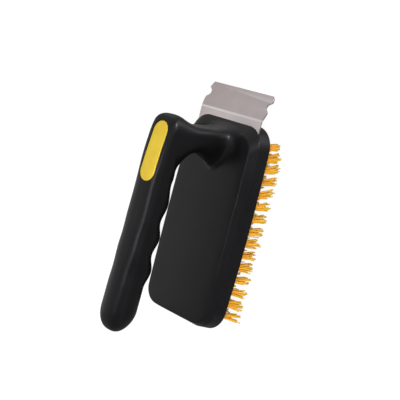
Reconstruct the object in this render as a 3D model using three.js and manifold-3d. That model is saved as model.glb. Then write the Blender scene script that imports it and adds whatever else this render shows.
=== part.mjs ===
// Grill cleaning brush: a rectangular scrubbing head with a closed D-shaped grip above it,
// a notched stainless scraper at the front and rows of stiff bristles underneath.
// Millimetres. +Z up, +Y towards the scraper, +X towards the side of the grip.
// The finished group stands on its bristle tips, centred on its own box in X and Y.
import * as THREE from "three";
import { ParametricGeometry } from "three/addons/geometries/ParametricGeometry.js";
import { mergeVertices } from "three/addons/utils/BufferGeometryUtils.js";
import Module from "manifold-3d";

const { lerp, smoothstep } = THREE.MathUtils;

// ---- driving dimensions ----------------------------------------------------
const FIT_GAP = 0.3; // clearance between neighbouring pieces

// head outline, shared by the cover and the base block
const HEAD_FRONT_Y = 75.3;
const HEAD_REAR_Y = -75.4;
const HEAD_HALF_WIDTH = 37;
const HEAD_CORNER_R = 15.6;
const HEAD_SIDE_BOW = 1.35; // the long sides bulge by this much at mid length

// base block
const BASE_TOP = 10.2;
const BASE_EDGE_R = 0.9;
const BASE_FLARE = 1; // the block's foot stands this much proud of its top

// cover plate on top of the base block
const COVER_BOTTOM = BASE_TOP + FIT_GAP;
const COVER_TOP = 16.5;
const COVER_EDGE_DROP = 0.35; // the rim of the top face is rounded over this height
const TOP_HALF_WIDTH = 33.9;
const TOP_FRONT_Y = 66.9;
const TOP_REAR_Y = -73;
const TOP_CORNER_R = 12.1;
const TOP_SIDE_BOW = 0.7;

// grip: one limb that rises from the cover, turns over and runs back above it
const GRIP_HALF_WIDTH = 13;
const GRIP_START_Y = 21.5; // finger side, where the neck ends
const GRIP_INNER_END_Y = -69.9; // finger side, where the rounded end begins
const GRIP_OUTER_END_Y = -73.6; // back, where the rounded end begins
const GRIP_REAR_Y = -88.9;
const OUTER_LEAD = 31; // at its start the back lies this far in front of the finger side
const LEAD_SHARE = 0.45; // share of the grip over which that lead runs out
const END_LEVEL = 66.9; // level of the rearmost point
const END_POWERS = { back: 0.6, fingers: 1.78, sides: 0.85 };

// finger side: swellings between the fingers, even from the last valley on
const FINGER_LEVEL = 53.9;
const FINGER_RISE = 0.012; // rise per millimetre towards the rear
const FINGER_PITCH = 23.85;
const FINGER_FIRST_Y = 6.3; // the first swelling
const FINGER_DEPTH = 1.9; // half the height of the finger waves
const FINGER_FADE = 0.3; // the first swelling is lower by this share

// back: highest at the rear, sinking in an arch under the thumb pad
const BACK_LEVEL = 75;
const BACK_RISE = 3.6;
const ARCH_START_Y = 20;
const ARCH_LENGTH = 45.4;
const ARCH_DROP = 3.7;

// thumb pad let into the back of the grip
const PAD_FRONT_Y = 64.7;
const PAD_REAR_Y = 20.3;
const PAD_HALF_WIDTH = 8;
const PAD_THICKNESS = 1.9;
const PAD_EDGE_R = 0.5;

// scraper blade
const BLADE_THICKNESS = 1.1;
const BLADE_TOP = BASE_TOP - 0.1;
const BLADE_REAR_Y = 46;
const BLADE_BEND_Y = 80.6;
const BLADE_BENT_LENGTH = 20.3;
const BLADE_ANGLE = THREE.MathUtils.degToRad(19);
const BLADE_HALF_REAR = 32.6;
const BLADE_HALF_BEND = 32.8;
const BLADE_HALF_TIP = 32.6;
const BLADE_SHIFT_X = -1.1; // the plate sits this far off the middle
const NOTCH_DEPTH = 3.2;

// bristles: cross rows of tufts, each row set in one carrier strip
const ROWS = 15;
const ROW_PITCH = 9.07;
const TUFTS_PER_ROW = 7;
const TUFT_PITCH = 10.5;
const TUFT_ROOT_R = 2.05;
const TUFT_TIP_R = 3.5;
const BRISTLE_LENGTH = 19.5;
const STRIP_LEVEL = 7; // underside of a row's carrier strip above the base underside
const STRIP_THICKNESS = 1.2;
const STRIP_HALF_WIDTH = 2.2;
const STRIP_HALF_LENGTH = ((TUFTS_PER_ROW - 1) / 2) * TUFT_PITCH + 2.6;
const TUFT_SIDES = 6;
const TUFT_LEAN = 1.4; // all tips lie this far forward of their roots
const TUFT_SPLAY = 0.05; // and further out, by this share of their distance from the middle

// screws that clamp base, blade and cover together
const SCREW_X = 26.25;
const SCREW_Y = 6.5 * ROW_PITCH;
const SCREW_SHANK_R = 1.6;
const SCREW_HEAD_R = 2.8;
const SCREW_HEAD_HEIGHT = 2.1;
const SCREW_END = 14.2;
const SCREW_SOCKET_R = 1.3;
const COUNTERBORE_DEPTH = 3.1;

// ---- materials -------------------------------------------------------------
const blackPlastic = new THREE.MeshStandardMaterial({ color: 0x1c1b1b, roughness: 0.62, metalness: 0 });
const basePlastic = new THREE.MeshStandardMaterial({ color: 0x181818, roughness: 0.6, metalness: 0 });
const yellowRubber = new THREE.MeshStandardMaterial({ color: 0xe3c935, roughness: 0.55, metalness: 0 });
const stainless = new THREE.MeshStandardMaterial({ color: 0xa8a39f, roughness: 0.36, metalness: 1 });
const screwSteel = new THREE.MeshStandardMaterial({ color: 0x8f9092, roughness: 0.4, metalness: 1 });
const bristleYellow = new THREE.MeshStandardMaterial({ color: 0xe6a920, roughness: 0.5, metalness: 0 });

// ---- solids ----------------------------------------------------------------
const wasm = await Module();
wasm.setup();

function toSolid(geometry) {
  const bare = geometry.clone();
  bare.deleteAttribute("normal");
  bare.deleteAttribute("uv");
  const merged = mergeVertices(bare, 1e-3);
  const corners = merged.index.array;
  const triVerts = [];
  for (let i = 0; i < corners.length; i += 3) {
    const [a, b, c] = [corners[i], corners[i + 1], corners[i + 2]];
    if (a !== b && b !== c && c !== a) triVerts.push(a, b, c);
  }
  const vertProperties = new Float32Array(merged.attributes.position.array);
  return new wasm.Manifold(
    new wasm.Mesh({ numProp: 3, vertProperties, triVerts: new Uint32Array(triVerts) }),
  );
}

function toGeometry(solid) {
  const { vertProperties, triVerts } = solid.getMesh();
  const geometry = new THREE.BufferGeometry();
  geometry.setAttribute("position", new THREE.BufferAttribute(vertProperties, 3));
  geometry.setIndex(new THREE.BufferAttribute(triVerts, 1));
  const flat = geometry.toNonIndexed();
  flat.computeVertexNormals();
  return flat;
}

// Closed skin over a list of rings that all hold the same number of points.
function skin(rings) {
  const slices = rings[0].length;
  const stacks = rings.length - 1;
  const place = (u, v, target) => {
    const ring = rings[Math.round(v * stacks)];
    target.copy(ring[Math.round(u * slices) % slices]);
  };
  return new ParametricGeometry(place, slices, stacks);
}

function pointRing(count, x, y, z) {
  return Array.from({ length: count }, () => new THREE.Vector3(x, y, z));
}

function cylinderAt(radius, low, high, x, y, sides = 16) {
  const cylinder = new THREE.CylinderGeometry(radius, radius, high - low, sides);
  return cylinder.rotateX(Math.PI / 2).translate(x, y, (low + high) / 2);
}

function boxBetween(low, high) {
  const size = new THREE.Vector3().subVectors(high, low);
  const centre = new THREE.Vector3().addVectors(low, high).multiplyScalar(0.5);
  return new THREE.BoxGeometry(size.x, size.y, size.z).translate(centre.x, centre.y, centre.z);
}

// ---- head outline ----------------------------------------------------------
const CORNER_STEPS = 7;
const SIDE_STEPS = 6;

// Rounded rectangle with bowed long sides, counter-clockwise seen from above.
function outlineRing({ halfWidth, front, rear, radius, bow }, z) {
  const ring = [];
  const middle = (front + rear) / 2;
  const halfStraight = (front - rear) / 2 - radius;
  const corner = (cx, cy, startAngle) => {
    for (let i = 0; i <= CORNER_STEPS; i++) {
      const angle = startAngle + (i / CORNER_STEPS) * (Math.PI / 2);
      ring.push(new THREE.Vector3(cx + radius * Math.cos(angle), cy + radius * Math.sin(angle), z));
    }
  };
  const side = (sign) => {
    for (let i = 1; i < SIDE_STEPS; i++) {
      const along = -1 + (2 * i) / SIDE_STEPS;
      const x = sign * (halfWidth + bow * (1 - along * along));
      ring.push(new THREE.Vector3(x, middle + sign * along * halfStraight, z));
    }
  };
  corner(halfWidth - radius, front - radius, 0);
  corner(-halfWidth + radius, front - radius, Math.PI / 2);
  side(-1);
  corner(-halfWidth + radius, rear + radius, Math.PI);
  corner(halfWidth - radius, rear + radius, 1.5 * Math.PI);
  side(1);
  return ring;
}

const headOutline = {
  halfWidth: HEAD_HALF_WIDTH,
  front: HEAD_FRONT_Y,
  rear: HEAD_REAR_Y,
  radius: HEAD_CORNER_R,
  bow: HEAD_SIDE_BOW,
};
const topOutline = {
  halfWidth: TOP_HALF_WIDTH,
  front: TOP_FRONT_Y,
  rear: TOP_REAR_Y,
  radius: TOP_CORNER_R,
  bow: TOP_SIDE_BOW,
};

function inset(outline, amount) {
  return {
    halfWidth: outline.halfWidth - amount,
    front: outline.front - amount,
    rear: outline.rear + amount,
    radius: outline.radius - amount,
    bow: outline.bow,
  };
}

function blendOutlines(a, b, t) {
  return {
    halfWidth: lerp(a.halfWidth, b.halfWidth, t),
    front: lerp(a.front, b.front, t),
    rear: lerp(a.rear, b.rear, t),
    radius: lerp(a.radius, b.radius, t),
    bow: lerp(a.bow, b.bow, t),
  };
}

function closedStack(rings) {
  const count = rings[0].length;
  const first = rings[0][0].z;
  const last = rings[rings.length - 1][0].z;
  return skin([pointRing(count, 0, 0, first), ...rings, pointRing(count, 0, 0, last)]);
}

// ---- cover -----------------------------------------------------------------
function coverGeometry() {
  const height = COVER_TOP - COVER_BOTTOM;
  const wall = (t, drop) =>
    outlineRing(blendOutlines(headOutline, topOutline, t), COVER_BOTTOM + t * height - drop);
  return closedStack([
    wall(0, 0),
    wall(0.45, -0.15),
    wall(0.84, 0),
    outlineRing(inset(topOutline, 0.15), COVER_TOP - COVER_EDGE_DROP),
    outlineRing(inset(topOutline, 1.1), COVER_TOP),
  ]);
}

// ---- grip ------------------------------------------------------------------
// Each station pairs a point of the outer line (front of the neck, back of the grip) with a
// point of the inner line (finger side), as [y, z, y, z]. The shape list gives the half width,
// where the widest level lies between the two lines, and the squareness of the outer half and
// of the finger half of the section.
const NECK_STATIONS = [
  { line: [73.2, 11.8, 37.4, 11.8], shape: [20, 0.56, 2.6, 1.45] },
  { line: [72.2, 13.8, 37.8, 13.8], shape: [18.4, 0.56, 2.7, 1.45] },
  { line: [70.6, 16.6, 38.6, 16.6], shape: [16.2, 0.57, 2.9, 1.45] },
  { line: [69.2, 20.4, 40.2, 20], shape: [14.2, 0.58, 3.2, 1.5] },
  { line: [67.7, 26, 42.9, 25.6], shape: [13.2, 0.58, 3.5, 1.7] },
  { line: [66.8, 33, 45.6, 32.4], shape: [12.9, 0.57, 3.7, 2.2] },
  { line: [66.1, 40, 46.6, 38.2], shape: [12.8, 0.57, 3.6, 2.6] },
  { line: [66.2, 47, 45.8, 43.4], shape: [12.8, 0.57, 3, 2.8] },
  { line: [67.8, 54, 43, 47.4], shape: [12.8, 0.57, 2.6, 2.8] },
  { line: [69.8, 60, 39.8, 50.1], shape: [12.8, 0.57, 2.4, 2.7] },
  { line: [70.2, 64.4, 36.6, 52], shape: [12.8, 0.57, 2.7, 2.6] },
  { line: [69.6, 68.1, 33.4, 53.4], shape: [12.8, 0.58, 3.2, 2.5] },
  { line: [67, 70.8, 30.2, 54.2], shape: [12.8, 0.59, 4, 2.4] },
  { line: [61.5, 72, 26.8, 54.8], shape: [12.8, 0.6, 4.8, 2.4] },
];
const GRIP_STEPS = 21;
const END_STEPS = 6;

function fingerLine(y) {
  const lastValley = FINGER_FIRST_Y - 2.5 * FINGER_PITCH;
  const wave = Math.cos(((Math.max(y, lastValley) - FINGER_FIRST_Y) / FINGER_PITCH) * 2 * Math.PI);
  const depth = FINGER_DEPTH * (1 - FINGER_FADE * smoothstep(y, -10, 10));
  return FINGER_LEVEL + FINGER_RISE * (FINGER_FIRST_Y - y) - depth * wave;
}

function backLine(y) {
  const arch = ARCH_DROP * Math.pow(Math.max(0, (y - ARCH_START_Y) / ARCH_LENGTH), 1.5);
  return BACK_LEVEL - arch + BACK_RISE * smoothstep(-y, -10, 84);
}

function gripStation(t) {
  const inner = lerp(GRIP_START_Y, GRIP_INNER_END_Y, t);
  const lead = OUTER_LEAD * Math.pow(1 - Math.min(t / LEAD_SHARE, 1), 2);
  const outer = inner + lead + (GRIP_OUTER_END_Y - GRIP_INNER_END_Y) * smoothstep(t, 0.5, 1);
  const soften = smoothstep(t, 0.25, 0.95);
  const squareness = 3.3 + 1.9 * smoothstep(outer, 20, 55) - 0.8 * soften;
  return {
    line: [outer, backLine(outer), inner, fingerLine(inner)],
    shape: [GRIP_HALF_WIDTH + 0.5 * soften, 0.6 - 0.08 * soften, squareness, 2.4],
  };
}

// Rounded end: a station shrunk towards the grip's rearmost point.
function endStation({ line, shape }, angle) {
  const [outerY, outerZ, innerY, innerZ] = line;
  const along = Math.sin(angle);
  const shrink = Math.cos(angle);
  return {
    line: [
      lerp(outerY, GRIP_REAR_Y, along),
      lerp(END_LEVEL, outerZ, Math.pow(shrink, END_POWERS.back)),
      lerp(innerY, GRIP_REAR_Y, along),
      lerp(END_LEVEL, innerZ, Math.pow(shrink, END_POWERS.fingers)),
    ],
    shape: [shape[0] * Math.pow(shrink, END_POWERS.sides), ...shape.slice(1)],
  };
}

function gripStations() {
  const stations = [...NECK_STATIONS];
  for (let i = 0; i <= GRIP_STEPS; i++) stations.push(gripStation(i / GRIP_STEPS));
  const last = stations[stations.length - 1];
  for (let i = 1; i <= END_STEPS; i++) {
    stations.push(endStation(last, (i / END_STEPS) * (Math.PI / 2)));
  }
  return stations;
}

const SECTION_POINTS = 28;

function sectionRing({ line, shape }) {
  const [outerY, outerZ, innerY, innerZ] = line;
  const [halfWidth, widest, outerPower, innerPower] = shape;
  const ring = [];
  for (let i = 0; i < SECTION_POINTS; i++) {
    const angle = (i / SECTION_POINTS) * 2 * Math.PI;
    const [c, s] = [Math.cos(angle), Math.sin(angle)];
    const power = 2 / (s >= 0 ? outerPower : innerPower);
    const x = halfWidth * Math.sign(c) * Math.pow(Math.abs(c), power);
    const reach = Math.pow(Math.abs(s), power);
    const depth = s >= 0 ? widest + (1 - widest) * reach : widest - widest * reach;
    ring.push(new THREE.Vector3(x, lerp(innerY, outerY, depth), lerp(innerZ, outerZ, depth)));
  }
  return ring;
}

function gripGeometry() {
  const rings = gripStations().map(sectionRing);
  const [outerY, z, innerY] = NECK_STATIONS[0].line;
  return skin([pointRing(SECTION_POINTS, 0, (outerY + innerY) / 2, z), ...rings]);
}

// ---- thumb pad -------------------------------------------------------------
const PAD_ARC_STEPS = 10;
const PAD_SIDE_STEPS = 5;

// Ring round the pad's oval, drawn in by offset and held at a drop below the arched back.
function padRing(offset, drop) {
  const radius = PAD_HALF_WIDTH - offset;
  const front = PAD_FRONT_Y - PAD_HALF_WIDTH;
  const rear = PAD_REAR_Y + PAD_HALF_WIDTH;
  const ring = [];
  const add = (x, y) => ring.push(new THREE.Vector3(x, y, backLine(y) - drop));
  for (const [sign, near, far] of [[1, front, rear], [-1, rear, front]]) {
    for (let i = 0; i <= PAD_ARC_STEPS; i++) {
      const angle = (i / PAD_ARC_STEPS) * Math.PI;
      add(sign * radius * Math.cos(angle), near + sign * radius * Math.sin(angle));
    }
    for (let i = 1; i < PAD_SIDE_STEPS; i++) add(-sign * radius, lerp(near, far, i / PAD_SIDE_STEPS));
  }
  return ring;
}

// The oval's spine: a ring of no width, which closes the pad's faces.
function padSpine(drop) {
  return padRing(PAD_HALF_WIDTH, drop);
}

function padGeometry() {
  const edge = [0, 0.3, 0.6, 1].map((t) => {
    const angle = (t * Math.PI) / 2;
    return padRing(FIT_GAP + PAD_EDGE_R * (1 - Math.cos(angle)), PAD_EDGE_R * (1 - Math.sin(angle)));
  });
  return skin([padSpine(PAD_THICKNESS), padRing(FIT_GAP, PAD_THICKNESS), ...edge, padSpine(0)]);
}

function padPocketGeometry() {
  const floor = PAD_THICKNESS + FIT_GAP;
  const above = -6;
  return skin([padSpine(floor), padRing(0, floor), padRing(0, above), padSpine(above)]);
}

// ---- scraper blade ---------------------------------------------------------
function bladeSolid() {
  const run = BLADE_BENT_LENGTH * Math.cos(BLADE_ANGLE);
  const fall = BLADE_BENT_LENGTH * Math.sin(BLADE_ANGLE);
  const down = new THREE.Vector2(-Math.sin(BLADE_ANGLE), -Math.cos(BLADE_ANGLE));
  const bendShift = BLADE_THICKNESS * Math.tan(BLADE_ANGLE / 2);
  const tipY = BLADE_BEND_Y + run;
  const tipZ = BLADE_TOP - fall;
  const profile = new THREE.Shape([
    new THREE.Vector2(BLADE_REAR_Y, BLADE_TOP),
    new THREE.Vector2(BLADE_REAR_Y, BLADE_TOP - BLADE_THICKNESS),
    new THREE.Vector2(BLADE_BEND_Y - bendShift, BLADE_TOP - BLADE_THICKNESS),
    new THREE.Vector2(tipY + down.x * BLADE_THICKNESS, tipZ + down.y * BLADE_THICKNESS),
    new THREE.Vector2(tipY, tipZ),
    new THREE.Vector2(BLADE_BEND_Y, BLADE_TOP),
  ]);
  const width = 80;
  const strip = new THREE.ExtrudeGeometry(profile, { depth: width, bevelEnabled: false });
  // the profile's own x and y become the object's Y and Z
  const turn = new THREE.Matrix4().makeBasis(
    new THREE.Vector3(0, 1, 0),
    new THREE.Vector3(0, 0, 1),
    new THREE.Vector3(1, 0, 0),
  );
  strip.applyMatrix4(turn).translate(-width / 2, 0, 0);
  const plan = new THREE.ExtrudeGeometry(bladePlan(tipY), { depth: width, bevelEnabled: false });
  plan.translate(BLADE_SHIFT_X, 0, -width / 2);
  return toSolid(strip).intersect(toSolid(plan));
}

// Plan outline: straight tang, a flare past the bend, a rounded notch, then the tip corner.
function bladePlan(tipY) {
  const bend = BLADE_BEND_Y;
  const run = tipY - bend;
  const at = (t) => bend + t * run;
  const flare = BLADE_HALF_BEND + 0.8;
  const floor = flare - NOTCH_DEPTH;
  const shape = new THREE.Shape();
  shape.moveTo(BLADE_HALF_REAR, BLADE_REAR_Y);
  shape.lineTo(BLADE_HALF_REAR, bend - 8);
  shape.lineTo(BLADE_HALF_BEND, bend);
  shape.lineTo(BLADE_HALF_BEND + 0.2, at(0.08));
  shape.quadraticCurveTo(flare - 0.1, at(0.2), flare, at(0.31));
  shape.bezierCurveTo(flare, at(0.44), floor, at(0.4), floor, at(0.56));
  shape.bezierCurveTo(floor, at(0.72), flare + 0.2, at(0.69), flare + 0.3, at(0.79));
  shape.lineTo(BLADE_HALF_TIP + 0.2, at(0.94));
  shape.quadraticCurveTo(BLADE_HALF_TIP, at(1.02), BLADE_HALF_TIP - 1, tipY + 1);
  const right = shape.getPoints(5);
  const left = right.map((p) => new THREE.Vector2(-p.x, p.y)).reverse();
  return new THREE.Shape([...right, ...left]);
}

// ---- base block ------------------------------------------------------------
function tuftX(column) {
  return (column - (TUFTS_PER_ROW - 1) / 2) * TUFT_PITCH;
}

function rowY(row) {
  return ((ROWS - 1) / 2 - row) * ROW_PITCH;
}

const SCREW_PLACES = {
  screw_front_right: [SCREW_X, SCREW_Y],
  screw_front_left: [-SCREW_X, SCREW_Y],
  screw_rear_right: [SCREW_X, -SCREW_Y],
  screw_rear_left: [-SCREW_X, -SCREW_Y],
};

function baseSolid() {
  const foot = inset(headOutline, -BASE_FLARE);
  let block = toSolid(
    closedStack([
      outlineRing(inset(foot, BASE_EDGE_R), 0),
      outlineRing(inset(foot, 0.3 * BASE_EDGE_R), 0.3 * BASE_EDGE_R),
      outlineRing(foot, BASE_EDGE_R),
      outlineRing(headOutline, BASE_TOP),
    ]),
  );
  const half = BLADE_HALF_REAR + 0.4;
  const rebate = boxBetween(
    new THREE.Vector3(BLADE_SHIFT_X - half, BLADE_REAR_Y - FIT_GAP, BLADE_TOP - BLADE_THICKNESS - FIT_GAP),
    new THREE.Vector3(BLADE_SHIFT_X + half, 90, BASE_TOP + 5),
  );
  block = block.subtract(toSolid(rebate));
  const cutters = [];
  for (let row = 0; row < ROWS; row++) {
    const y = rowY(row);
    const halfLength = STRIP_HALF_LENGTH + FIT_GAP;
    const halfWidth = STRIP_HALF_WIDTH + FIT_GAP;
    const groove = boxBetween(
      new THREE.Vector3(-halfLength, y - halfWidth, STRIP_LEVEL - FIT_GAP),
      new THREE.Vector3(halfLength, y + halfWidth, BASE_TOP + 2),
    );
    cutters.push(groove);
    for (let column = 0; column < TUFTS_PER_ROW; column++) {
      cutters.push(cylinderAt(TUFT_ROOT_R + FIT_GAP, -2, STRIP_LEVEL, tuftX(column), y, TUFT_SIDES));
    }
  }
  for (const [x, y] of Object.values(SCREW_PLACES)) {
    cutters.push(cylinderAt(SCREW_SHANK_R + FIT_GAP, -1, BASE_TOP + 2, x, y));
    cutters.push(cylinderAt(SCREW_HEAD_R + FIT_GAP, -1, COUNTERBORE_DEPTH, x, y));
  }
  for (const cutter of cutters) block = block.subtract(toSolid(cutter));
  return block;
}

// ---- one cross row of tufts on its carrier strip -----------------------------
function tuftRings(x, y, row, column) {
  const top = STRIP_LEVEL + STRIP_THICKNESS / 2;
  const wander = 0.45 * Math.sin(12.9 * row + 78.2 * column);
  const tip = new THREE.Vector2(x * (1 + TUFT_SPLAY) + wander, y * (1 + TUFT_SPLAY) + TUFT_LEAN);
  const turn = 0.35 * Math.cos(5.3 * row + 2.1 * column);
  const ring = (cx, cy, radius, z, twist) =>
    Array.from({ length: TUFT_SIDES }, (_, i) => {
      const angle = (i / TUFT_SIDES) * 2 * Math.PI + twist;
      return new THREE.Vector3(cx + radius * Math.sin(angle), cy + radius * Math.cos(angle), z);
    });
  return [
    pointRing(TUFT_SIDES, x, y, top),
    ring(x, y, TUFT_ROOT_R, top, 0),
    ring(x, y, TUFT_ROOT_R, 0, 0),
    ring(tip.x, tip.y, TUFT_TIP_R, -BRISTLE_LENGTH, turn),
    pointRing(TUFT_SIDES, tip.x, tip.y, -BRISTLE_LENGTH),
  ];
}

function rowSolid(row) {
  const y = rowY(row);
  const strip = boxBetween(
    new THREE.Vector3(-STRIP_HALF_LENGTH, y - STRIP_HALF_WIDTH, STRIP_LEVEL),
    new THREE.Vector3(STRIP_HALF_LENGTH, y + STRIP_HALF_WIDTH, STRIP_LEVEL + STRIP_THICKNESS),
  );
  let solid = toSolid(strip);
  for (let column = 0; column < TUFTS_PER_ROW; column++) {
    solid = solid.add(toSolid(skin(tuftRings(tuftX(column), y, row, column))));
  }
  return solid;
}

// ---- screw -----------------------------------------------------------------
function screwSolid() {
  const under = COUNTERBORE_DEPTH - FIT_GAP;
  const face = under - SCREW_HEAD_HEIGHT;
  const profile = [
    new THREE.Vector2(0, face),
    new THREE.Vector2(SCREW_HEAD_R - 0.7, face),
    new THREE.Vector2(SCREW_HEAD_R, face + 0.7),
    new THREE.Vector2(SCREW_HEAD_R, under),
    new THREE.Vector2(SCREW_SHANK_R, under),
    new THREE.Vector2(SCREW_SHANK_R, SCREW_END - 1.4),
    new THREE.Vector2(0.5, SCREW_END),
    new THREE.Vector2(0, SCREW_END),
  ];
  const body = new THREE.LatheGeometry(profile, 16).rotateX(Math.PI / 2);
  const socket = cylinderAt(SCREW_SOCKET_R, face - 1, face + 1.3, 0, 0, 6);
  return toSolid(body).subtract(toSolid(socket));
}

// ---- assembly --------------------------------------------------------------
const bladeTipY = BLADE_BEND_Y + BLADE_BENT_LENGTH * Math.cos(BLADE_ANGLE);
const brush = new THREE.Group();
brush.position.set(0, -(GRIP_REAR_Y + bladeTipY) / 2, BRISTLE_LENGTH);

function addMesh(name, geometry, material) {
  const mesh = new THREE.Mesh(geometry, material);
  mesh.name = name;
  brush.add(mesh);
  return mesh;
}

let housing = toSolid(coverGeometry()).add(toSolid(gripGeometry()));
housing = housing.subtract(toSolid(padPocketGeometry()));
for (const [x, y] of Object.values(SCREW_PLACES)) {
  const bore = cylinderAt(SCREW_SHANK_R + FIT_GAP, COVER_BOTTOM - 5, SCREW_END + FIT_GAP, x, y);
  housing = housing.subtract(toSolid(bore));
}
addMesh("housing", toGeometry(housing), blackPlastic);
addMesh("thumb_pad", padGeometry(), yellowRubber);
addMesh("base_block", toGeometry(baseSolid()), basePlastic);

let blade = bladeSolid();
for (const x of [SCREW_X, -SCREW_X]) {
  const hole = cylinderAt(SCREW_SHANK_R + FIT_GAP, 0, 2 * BASE_TOP, x, SCREW_Y);
  blade = blade.subtract(toSolid(hole));
}
addMesh("scraper_blade", toGeometry(blade), stainless);

const screwGeometry = toGeometry(screwSolid());
for (const [name, [x, y]] of Object.entries(SCREW_PLACES)) {
  addMesh(name, screwGeometry, screwSteel).position.set(x, y, 0);
}

for (let row = 0; row < ROWS; row++) {
  const name = `tuft_row_${String(row + 1).padStart(2, "0")}`;
  addMesh(name, toGeometry(rowSolid(row)), bristleYellow);
}

export default brush;
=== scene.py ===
"""Grill cleaning brush: the looks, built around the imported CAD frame."""
import math
import random

import bmesh
import bpy
import numpy as np
from mathutils import Matrix, Vector
from mathutils.bvhtree import BVHTree


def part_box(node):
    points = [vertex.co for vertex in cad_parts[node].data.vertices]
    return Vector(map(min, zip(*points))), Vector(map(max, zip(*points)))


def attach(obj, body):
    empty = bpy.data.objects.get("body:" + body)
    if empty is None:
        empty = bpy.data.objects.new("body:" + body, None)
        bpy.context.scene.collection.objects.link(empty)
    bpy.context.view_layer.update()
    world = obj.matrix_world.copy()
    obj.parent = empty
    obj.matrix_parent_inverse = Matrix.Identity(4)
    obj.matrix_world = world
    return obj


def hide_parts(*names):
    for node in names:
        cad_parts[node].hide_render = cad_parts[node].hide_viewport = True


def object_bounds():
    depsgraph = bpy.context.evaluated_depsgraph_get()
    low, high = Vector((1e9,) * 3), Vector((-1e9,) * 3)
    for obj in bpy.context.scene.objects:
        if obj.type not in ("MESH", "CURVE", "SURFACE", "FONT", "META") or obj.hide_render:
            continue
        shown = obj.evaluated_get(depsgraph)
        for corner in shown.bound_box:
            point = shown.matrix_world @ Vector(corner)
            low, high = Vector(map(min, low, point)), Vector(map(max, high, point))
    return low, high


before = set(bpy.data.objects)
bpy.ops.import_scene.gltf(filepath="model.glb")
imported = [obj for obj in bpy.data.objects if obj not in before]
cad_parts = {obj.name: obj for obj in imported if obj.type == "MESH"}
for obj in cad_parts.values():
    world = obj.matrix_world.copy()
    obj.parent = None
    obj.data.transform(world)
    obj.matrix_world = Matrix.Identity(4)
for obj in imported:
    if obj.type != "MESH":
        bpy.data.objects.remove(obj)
cad_low, cad_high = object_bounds()

# Sizes are in the block frame: millimetres, +Y towards the scraper, +Z up, with the origin close to the
# middle of the base block's underside. A shape's outline is its half width, its ends, its corner radius
# and the bulge of its long sides.
MM = 0.001
FIT_GAP = 0.3
HEAD = {"half": 37.0, "front": 75.3, "rear": -75.4, "radius": 15.6, "bow": 1.35}
TOP = {"half": 33.9, "front": 66.9, "rear": -73.0, "radius": 12.1, "bow": 0.7}
BASE_FLARE = 1.0
BLADE_BEND_Y = 80.6
base_low, base_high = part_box("base_block")
ORIGIN = np.array([
    (base_low.x + base_high.x) / 2,
    base_high.y - (HEAD["front"] + BASE_FLARE) * MM,
    base_low.z,
])


# ---- small helpers -----------------------------------------------------------
def lerp(a, b, t):
    return a + (b - a) * t


def smoothstep(x, low, high):
    t = np.clip((x - low) / (high - low), 0.0, 1.0)
    return t * t * (3 - 2 * t)


def metres(points):
    """Block-frame millimetres to the shared frame's metres."""
    return np.asarray(points, float) * MM + ORIGIN


def mesh_object(name, points, faces, smooth=True):
    """An object in the scene from points in block-frame millimetres."""
    mesh = bpy.data.meshes.new(name)
    mesh.from_pydata([tuple(p) for p in metres(points)], [], [tuple(f) for f in faces])
    mesh.update()
    obj = bpy.data.objects.new(name, mesh)
    bpy.context.scene.collection.objects.link(obj)
    if smooth:
        mesh.shade_smooth()
    return obj


def ring_faces(rings, points_per_ring):
    """Four-sided faces between rings that follow one another."""
    faces = []
    for r in range(rings - 1):
        low, high = r * points_per_ring, (r + 1) * points_per_ring
        for i in range(points_per_ring):
            j = (i + 1) % points_per_ring
            faces.append((low + i, low + j, high + j, high + i))
    return faces


def moved(faces, offset):
    """Faces whose point numbers start later by an offset."""
    return [tuple(i + offset for i in face) for face in faces]


def quarter(steps):
    """Angles of a quarter turn, both ends included."""
    return [i / steps * math.pi / 2 for i in range(steps + 1)]


def full_turn(count):
    return np.arange(count) / count * 2 * math.pi


def circle(x, y, z, radius, angles):
    """A level ring of points; the radius is one number or one for each angle."""
    return np.stack([x + radius * np.cos(angles), y + radius * np.sin(angles), np.full(len(angles), z)], 1)


def closed_stack(rings):
    """Points and faces of a closed skin over rings of equal length, with flat ends."""
    count = len(rings[0])
    points = np.concatenate(rings)
    faces = ring_faces(len(rings), count)
    faces.append(tuple(reversed(range(count))))
    last = (len(rings) - 1) * count
    faces.append(tuple(range(last, last + count)))
    return points, faces


def outward(obj):
    """Turns an object's faces to look out of its closed body."""
    bm = bmesh.new()
    bm.from_mesh(obj.data)
    bmesh.ops.recalc_face_normals(bm, faces=bm.faces)
    bm.to_mesh(obj.data)
    bm.free()
    return obj


def skin_object(name, rings):
    """An object with one closed skin over rings."""
    return outward(mesh_object(name, *closed_stack(rings)))


def baked(obj):
    """Applies an object's modifiers to its mesh."""
    graph = bpy.context.evaluated_depsgraph_get()
    mesh = bpy.data.meshes.new_from_object(obj.evaluated_get(graph))
    obj.modifiers.clear()
    obj.data = mesh
    return obj


def cut(obj, cutter):
    """Subtracts a closed cutter object, which is then removed."""
    boolean = obj.modifiers.new("cut", "BOOLEAN")
    boolean.operation = "DIFFERENCE"
    boolean.solver = "MANIFOLD"
    boolean.object = cutter
    baked(obj)
    bpy.data.objects.remove(cutter)
    return obj


def sharpen(obj, degrees):
    """Smooth shading, with hard edges where faces meet at more than an angle."""
    obj.data.shade_smooth()
    obj.data.set_sharp_from_angle(angle=math.radians(degrees))
    return obj


RIM_HEIGHT = 0.45  # height of the chamfer round a hole in the underside


def cylinder(radius, low, high, x, y, sides=32, flare=0.0):
    """Rings of an upright cutter; flare widens its mouth at level 0, for a chamfered rim."""
    levels = [(low, radius), (high, radius)]
    if flare:
        levels = [(low, radius + flare), (0.0, radius + flare), (RIM_HEIGHT, radius), (high, radius)]
    return [circle(x, y, z, r, full_turn(sides)) for z, r in levels]


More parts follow.
